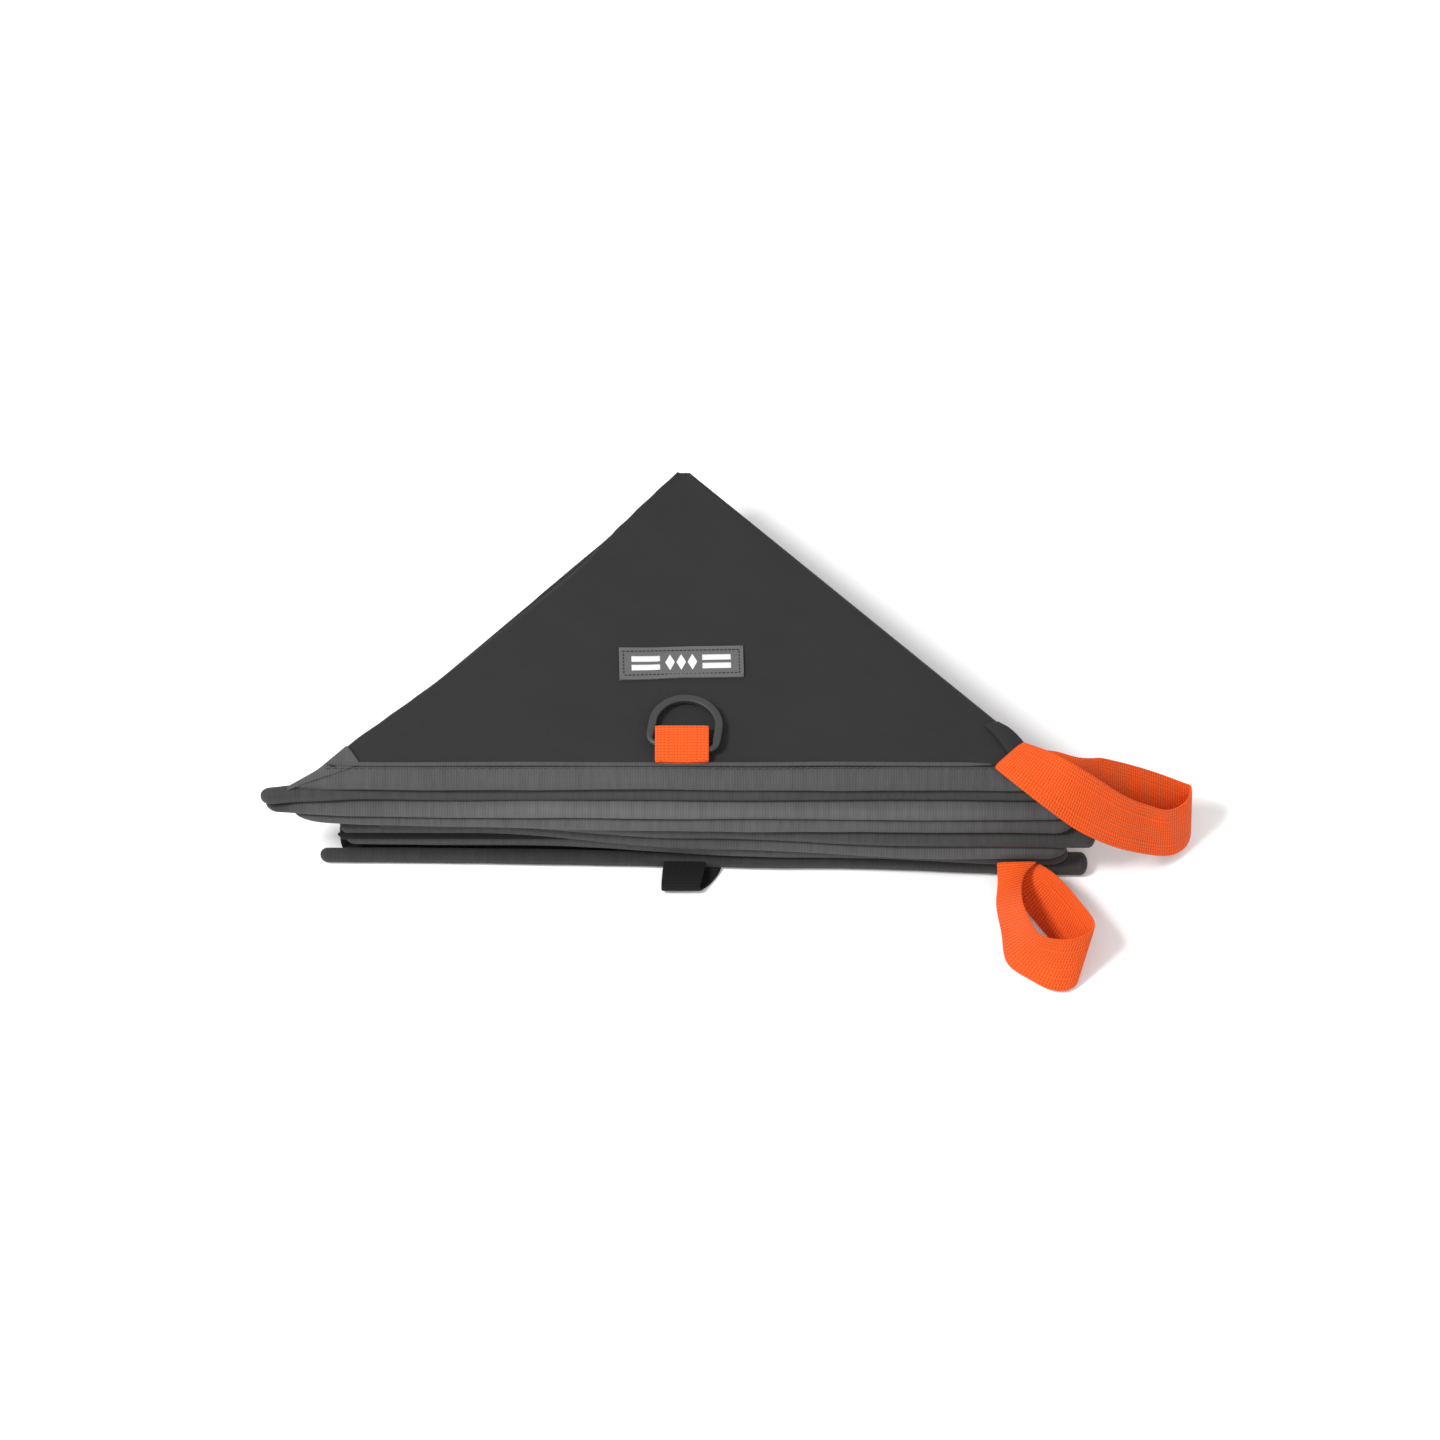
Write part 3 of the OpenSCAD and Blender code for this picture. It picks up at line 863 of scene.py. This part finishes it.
def label():
    """The woven label, a little turned, with a sewn border and a plain generic mark."""
    low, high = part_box("label_patch")
    centre = Vector(((low[0] + high[0]) / 2, (low[1] + high[1]) / 2, 0))
    width, height, turn = 0.064, 0.0195, math.radians(1.4)

    def on_label(s, t, lift):
        x, y = s * width / 2, t * height / 2
        px = centre.x + x * math.cos(turn) - y * math.sin(turn)
        py = centre.y + x * math.sin(turn) + y * math.cos(turn)
        lift += 0.0003 * soft_noise(px * 60, py * 60, 2.0)
        cloth = top_surface(py) + ripple(px, py, 4.0, TOP_RIPPLE) + top_wrinkles(px, py)
        return Vector((px, py, cloth + lift))

    def patch(name, s0, s1, t0, t1, lift, thick, material, steps=(40, 14)):
        rows = [[on_label(lerp(s0, s1, i / steps[0]), lerp(t0, t1, j / steps[1]), lift)
                 for j in range(steps[1] + 1)] for i in range(steps[0] + 1)]
        return modify(grid(name, rows, material), thick)

    body = patch("label_cloth", -1, 1, -1, 1, 0.0006, 0.0008, LABEL)
    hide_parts("label_patch")
    parts = [body]
    for name, a, b, c, d in (("low", -1, 1, -1, -0.80), ("high", -1, 1, 0.80, 1),
                             ("left", -1, -0.945, -1, 1), ("right", 0.945, 1, -1, 1)):
        parts.append(patch("label_hem_" + name, a, b, c, d, 0.00095, 0.0003, LABEL, (40, 6)))
    inner = [on_label(s, t, 0.00125) for s, t in
             ((-0.93, -0.74), (0.93, -0.74), (0.93, 0.74), (-0.93, 0.74), (-0.93, -0.74))]
    dense = [lerp(a, b, i / 12) for a, b in zip(inner, inner[1:]) for i in range(13)]
    parts.append(stitches("label_stitches", dense, 0.0021, 0.0015, 0.00022, THREAD_DARK))
    for k, (a, b, c, d) in enumerate(((-0.80, -0.34, 0.10, 0.44), (-0.80, -0.34, -0.44, -0.10),
                                      (0.34, 0.80, 0.10, 0.44), (0.34, 0.80, -0.44, -0.10))):
        parts.append(patch(f"label_bar_{k + 1}", a, b, c, d, 0.00115, 0.0003, LABEL_MARK, (16, 3)))
    steps = [i / 4 for i in range(-4, 5)]
    for k, s in enumerate((-0.18, 0.0, 0.18)):
        rows = [[on_label(s + i * 0.075, j * 0.5 * (1.02 - abs(i)), 0.00115) for j in steps] for i in steps]
        parts.append(modify(grid(f"label_diamond_{k + 1}", rows, LABEL_MARK), 0.0003))
    for part in parts:
        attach(part, "top_quarter")


label()


def ring_tab():
    """The orange tab: webbing that runs back over the panel, round the ring's bar and home."""
    low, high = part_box("ring_tab")
    width, eye, clearance, flat_gap = 0.0275, 0.0046, 0.0002, 0.0006
    half = (WEBBING_T + eye) / 2
    front, turn_y = low[1] - 0.001, high[1] - half - 0.0008
    path = []
    for k in range(9):
        y = lerp(front, turn_y, k / 8)
        path.append((y, top_surface(y) + WEBBING_T / 2 + clearance))
    turn_z = top_surface(turn_y) + WEBBING_T / 2 + clearance + half
    for k in range(1, 10):
        a = -math.pi / 2 + math.pi * k / 10
        path.append((turn_y + half * math.cos(a), turn_z + half * math.sin(a)))
    for k in range(0, 13):
        y = lerp(turn_y, front, k / 12)
        fall = ease((k / 12 - 0.35) / 0.65)
        path.append((y, top_surface(y) + WEBBING_T * 1.5 + lerp(eye, flat_gap, fall)))

    points = [Vector(((low[0] + high[0]) / 2, y, z)) for y, z in path]
    rows, place, gone = [], [], 0.0
    for k, p in enumerate(points):
        a, b = points[max(k - 1, 0)], points[min(k + 1, len(points) - 1)]
        along = (b - a).normalized()
        normal = Vector((0, -along.z, along.y))
        if k:
            gone += (p - points[k - 1]).length
        ring = ring_of(p, Vector((1, 0, 0)), normal, width / 2, WEBBING_T / 2, 40, 0.35)
        rows.append(ring)
        place += [(gone, q.x, 0.0) for q in ring]
    obj = modify(grid("ring_tab_webbing", rows, ORANGE, True, True, place), 0.0, 1)
    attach(obj, "top_quarter")
    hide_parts("ring_tab")


ring_tab()


def d_ring():
    """The moulded ring: a flat rounded bar swept round a D, with a round pivot bar."""
    joint = next(j for j in frame["joints"] if j["name"] == "ring_swing")
    pivot = Vector(joint["pos_m"])
    along = Vector(joint["axis"]).normalized()
    flat_y = UP.cross(along).normalized()
    lean = math.radians(6.2)
    up_ring = (flat_y * math.cos(lean) - UP * math.sin(lean)).normalized()
    normal = along.cross(up_ring).normalized()
    outer, bar, length, corner = 0.0191, 0.0041, 0.0324, 0.0042
    pivot_r, half_thick, around = 0.0016, 0.0015, 20
    mid = outer - bar / 2
    leg = length - outer
    path = []
    for k in range(7):
        path.append((lerp(-mid + corner, mid - corner, k / 6), 0.0))
    for k in range(1, 7):
        a = -math.pi / 2 + math.pi / 2 * k / 6
        path.append((mid - corner + corner * math.cos(a), corner + corner * math.sin(a)))
    for k in range(1, 5):
        path.append((mid, lerp(corner, leg, k / 5)))
    for k in range(33):
        a = math.pi * k / 32
        path.append((mid * math.cos(a), leg + mid * math.sin(a)))
    for k in range(1, 5):
        path.append((-mid, lerp(leg, corner, k / 5)))
    for k in range(6):
        a = math.pi + math.pi / 2 * k / 6
        path.append((-mid + corner + corner * math.cos(a), corner + corner * math.sin(a)))
    rows = []
    count = len(path)
    for k, (s, t) in enumerate(path):
        a, b = path[k - 1], path[(k + 1) % count]
        tangent = Vector((b[0] - a[0], b[1] - a[1])).normalized()
        side = along * tangent.y - up_ring * tangent.x
        centre = pivot + along * s + up_ring * t
        thin = ease(t / 0.006)
        rows.append(ring_of(centre, side, normal, lerp(pivot_r, bar / 2, thin),
                            lerp(pivot_r, half_thick, thin), around, lerp(1, 0.36, thin)))
    rows.append(rows[0])
    obj = grid("d_ring_moulding", rows, RING, True, False, [(0, 0, 0)] * (len(rows) * around))
    weld = obj.modifiers.new("weld", "WELD")
    weld.merge_threshold = 0.00001
    modify(obj, 0.0, 1)
    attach(obj, "d_ring")
    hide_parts("d_ring")


d_ring()

# ---------------------------------------------------------------- the webbing loops
# Both edges of each orange loop, in millimetres, out along one strand and back along the other.
UPPER_LOOP = [
    ((157, -57.5, 72), (172, -42.5, 71.3)),
    ((169, -70, 73.8), (184, -49.5, 74.8)),
    ((182, -77.5, 66.5), (195, -57, 77)),
    ((200, -83, 51), (209, -62, 69)),
    ((218.5, -82, 33), (224, -64, 54)),
    ((236, -77.5, 17), (238, -62, 40)),
    ((249.5, -72.5, 6.5), (249, -60, 32)),
    ((258, -65.5, 2.2), (258, -53, 29)),
    ((261, -57.5, 2), (260.5, -45, 29.5)),
    ((257, -54, 4), (256, -43, 31)),
    ((237, -54, 17), (236.5, -41.5, 42)),
    ((216, -57.5, 37), (215, -44, 57)),
    ((206, -60, 52.5), (208, -45.5, 60)),
    ((196.5, -62.5, 65.5), (200, -48.5, 66)),
    ((180, -65.5, 70.8), (190.5, -48, 70.3)),
    ((167, -65, 70.6), (182.5, -46.5, 70.4)),
    ((158, -57.5, 70.5), (173, -42.5, 69.9)),
]
LOWER_LOOP = [
    ((160, -84.5, 20.8), (181, -84, 20.8)),
    ((160.5, -94, 14), (173.5, -94, 23)),
    ((160, -103, 8), (172, -111, 29)),
    ((162.5, -116, 3), (176, -124, 30)),
    ((165, -133, 1.8), (181, -131, 28)),
    ((177, -143, 1.8), (190, -133, 27)),
    ((187, -148.5, 1.8), (198, -132, 26)),
    ((196, -148.5, 1.8), (206.5, -127.5, 25)),
    ((200, -142, 1.8), (208.5, -121.5, 26)),
    ((190, -123, 1.2), (201, -110, 27)),
    ((178.5, -107, 2), (193, -98.5, 26)),
    ((168.5, -95.5, 8.5), (187, -89.5, 21.5)),
    ((161, -85, 17.4), (182, -84, 18.2)),
]


def webbing_loop(name, edges, body, node, material=ORANGE):
    """A loop of webbing between two edge curves, with rounded edges."""
    weave_width = 0.028
    near = [Vector(e[0]) / 1000 for e in edges]
    far = [Vector(e[1]) / 1000 for e in edges]
    last = len(edges) - 1
    steps = 96
    rows, place, gone, before = [], [], 0.0, None
    for k in range(steps + 1):
        u = last * k / steps
        a, b = spline_at(near, u), spline_at(far, u)
        lo, hi = max(u - 0.05, 0), min(u + 0.05, last)
        ahead, behind = spline_at(near, hi) + spline_at(far, hi), spline_at(near, lo) + spline_at(far, lo)
        along = (ahead - behind).normalized()
        across = (b - a).normalized()
        normal = across.cross(along).normalized()
        centre = (a + b) / 2
        if before is not None:
            gone += (centre - before).length
        before = centre
        ring = ring_of(centre, across, normal, (b - a).length / 2, WEBBING_T / 2, 44, 0.35)
        rows.append(ring)
        for q in ring:
            place.append((gone, (q - centre).dot(across) * weave_width / (b - a).length, 0.0))
    obj = modify(grid(name, rows, material, True, True, place), 0.0, 1)
    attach(obj, body)
    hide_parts(node)


webbing_loop("upper_loop_webbing", UPPER_LOOP, "top_quarter", "upper_webbing_loop")
webbing_loop("lower_loop_webbing", LOWER_LOOP, "lower_quarter", "lower_webbing_loop")


# The black loop stands out under the front of the base and is pushed a little to one side.
BLACK_LOOP = [
    ((-11, -75, 5.5), (11, -75, 5.5)),
    ((-11.5, -79.5, 6.6), (10, -79.5, 6.6)),
    ((-12, -85, 7.4), (9, -85, 7.2)),
    ((-12.3, -89.3, 6.4), (8, -89.3, 6.2)),
    ((-12.3, -91, 4), (7.5, -91, 4)),
    ((-12, -89.8, 1.8), (9, -89.8, 1.8)),
    ((-11.5, -85.5, 0.9), (13.5, -85.5, 0.9)),
    ((-11, -79.5, 0.9), (17.5, -79.5, 0.9)),
    ((-11, -75, 2), (19, -75, 2)),
]
webbing_loop("black_loop_webbing", BLACK_LOOP, "base_quarter", "black_webbing_loop", BLACK)

# ---------------------------------------------------------------- floor, light and camera
FLOOR_HALF, FLOOR_DROP = 6, 0.0002
paper = Nodes("paper")
paper.shader.inputs["Base Color"].default_value = (0.93, 0.93, 0.93, 1)
across = (-FLOOR_HALF, FLOOR_HALF)
floor = grid("floor", [[Vector((x, y, 0)) for y in across] for x in across],
             paper.finish(0.9, 0.0, 0.1))
floor.location.z = -FLOOR_DROP


def area_light(name, place, target, size, power):
    lamp = bpy.data.lights.new(name, "AREA")
    lamp.shape = "SQUARE"
    lamp.size = size
    lamp.energy = power
    obj = bpy.data.objects.new(name, lamp)
    bpy.context.scene.collection.objects.link(obj)
    obj.location = place
    obj.rotation_euler = (Vector(target) - Vector(place)).to_track_quat("-Z", "Y").to_euler()


area_light("key", (-1.15, -0.35, 1.85), (0.05, 0, 0), size=0.5, power=40)
area_light("front_fill", (0.3, -2.2, 1.9), (0, 0, 0), size=1.6, power=12)

SKY_STRENGTH = 0.78
world = bpy.data.worlds.new("studio")
world.use_nodes = True
sky = world.node_tree.nodes["Background"]
sky.inputs["Color"].default_value = (1, 1, 1, 1)
sky.inputs["Strength"].default_value = SKY_STRENGTH
bpy.context.scene.world = world
bpy.context.scene.view_settings.view_transform = "Standard"

ELEVATION = math.radians(59.5)
DISTANCE, LENS = 3.5, 170.6
TARGET = Vector((0.0179, -0.0229, 0.060))
lens = bpy.data.cameras.new("camera")
lens.lens = LENS
camera = bpy.data.objects.new("camera", lens)
bpy.context.scene.collection.objects.link(camera)
camera.location = TARGET + Vector((0, -math.cos(ELEVATION), math.sin(ELEVATION))) * DISTANCE
camera.rotation_euler = (math.pi / 2 - ELEVATION, 0, 0)
bpy.context.scene.camera = camera
